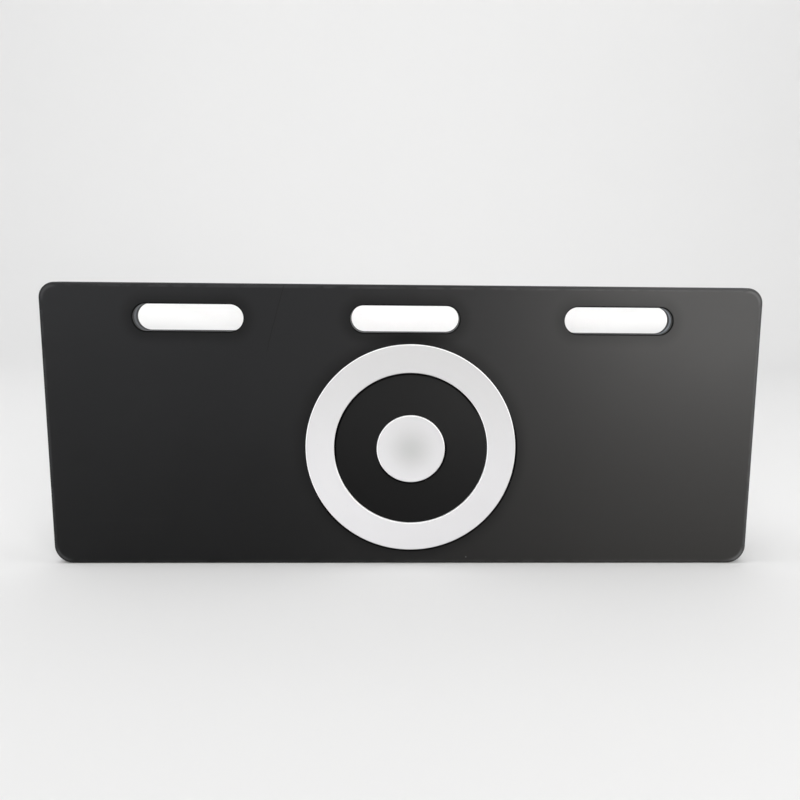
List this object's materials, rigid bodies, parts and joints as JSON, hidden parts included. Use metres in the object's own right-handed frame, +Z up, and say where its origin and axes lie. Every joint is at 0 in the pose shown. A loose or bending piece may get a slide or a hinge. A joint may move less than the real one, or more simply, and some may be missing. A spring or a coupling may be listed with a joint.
{
  "type": "soccer rebound board",
  "caption": "Low black rebound board with hand slots along the top and a raised grey target, standing on hinged wings that fold flat against its back.",
  "frame": {"origin": "middle of the board's bottom face, half way through its thickness", "axes": "+X along the board, to the right as seen by the player; -Y out of the face that the ball strikes; +Z up"},
  "size_m": [1, 0.2283, 0.4],
  "materials": {
    "black_sheet": "satin polyethylene",
    "wing_sheet": "satin polyethylene, sawn and broken edges",
    "core_foam": "closed-cell foam, cut faces",
    "target_plastic": "smooth matt",
    "zinc_steel": "bright zinc plate",
    "zinc_screw": "bright zinc plate",
    "pin_steel": "polished",
    "black_screw": "black oxide",
    "foot_rubber": "matt rubber",
    "catch_plastic": "moulded, fine texture",
    "magnet_steel": "ground ferrite"
  },
  "bodies": {
    "board": {"front_sheet": "black_sheet", "rear_sheet": "black_sheet", "foam_core": "core_foam", "target_ring": "target_plastic", "target_spot": "target_plastic", "catch_left_body": "catch_plastic", "catch_left_magnet": "magnet_steel", "catch_left_screw_lower": "black_screw", "catch_left_screw_upper": "black_screw", "hinge_left_low_fixed_leaf": "zinc_steel", "hinge_left_low_pin": "pin_steel", "hinge_left_low_fixed_leaf_screw_lower": "zinc_screw", "hinge_left_low_fixed_leaf_screw_upper": "zinc_screw", "hinge_left_high_fixed_leaf": "zinc_steel", "hinge_left_high_pin": "pin_steel", "hinge_left_high_fixed_leaf_screw_lower": "zinc_screw", "hinge_left_high_fixed_leaf_screw_upper": "zinc_screw", "catch_right_body": "catch_plastic", "catch_right_magnet": "magnet_steel", "catch_right_screw_lower": "black_screw", "catch_right_screw_upper": "black_screw", "hinge_right_low_fixed_leaf": "zinc_steel", "hinge_right_low_pin": "pin_steel", "hinge_right_low_fixed_leaf_screw_lower": "zinc_screw", "hinge_right_low_fixed_leaf_screw_upper": "zinc_screw", "hinge_right_high_fixed_leaf": "zinc_steel", "hinge_right_high_pin": "pin_steel", "hinge_right_high_fixed_leaf_screw_lower": "zinc_screw", "hinge_right_high_fixed_leaf_screw_upper": "zinc_screw"},
    "wing_left": {"wing_left": "wing_sheet", "foot_left": "foot_rubber", "foot_left_screw": "black_screw", "keeper_left": "zinc_steel", "keeper_left_screw_lower": "black_screw", "keeper_left_screw_upper": "black_screw", "hinge_left_low_moving_leaf": "zinc_steel", "hinge_left_low_moving_leaf_screw_lower": "zinc_screw", "hinge_left_low_moving_leaf_screw_upper": "zinc_screw", "hinge_left_high_moving_leaf": "zinc_steel", "hinge_left_high_moving_leaf_screw_lower": "zinc_screw", "hinge_left_high_moving_leaf_screw_upper": "zinc_screw"},
    "wing_right": {"wing_right": "wing_sheet", "foot_right": "foot_rubber", "foot_right_screw": "black_screw", "keeper_right": "zinc_steel", "keeper_right_screw_lower": "black_screw", "keeper_right_screw_upper": "black_screw", "hinge_right_low_moving_leaf": "zinc_steel", "hinge_right_low_moving_leaf_screw_lower": "zinc_screw", "hinge_right_low_moving_leaf_screw_upper": "zinc_screw", "hinge_right_high_moving_leaf": "zinc_steel", "hinge_right_high_moving_leaf_screw_lower": "zinc_screw", "hinge_right_high_moving_leaf_screw_upper": "zinc_screw"}
  },
  "joints": [
    {"name": "wing_left_hinge", "type": "hinge", "parent": "board", "child": "wing_left", "pos_m": [-0.3157, 0.0173, 0.142], "axis": [0, 0, -1], "range_deg": [0, 90]},
    {"name": "wing_right_hinge", "type": "hinge", "parent": "board", "child": "wing_right", "pos_m": [0.3157, 0.0173, 0.142], "axis": [0, 0, 1], "range_deg": [0, 90]}
  ]
}
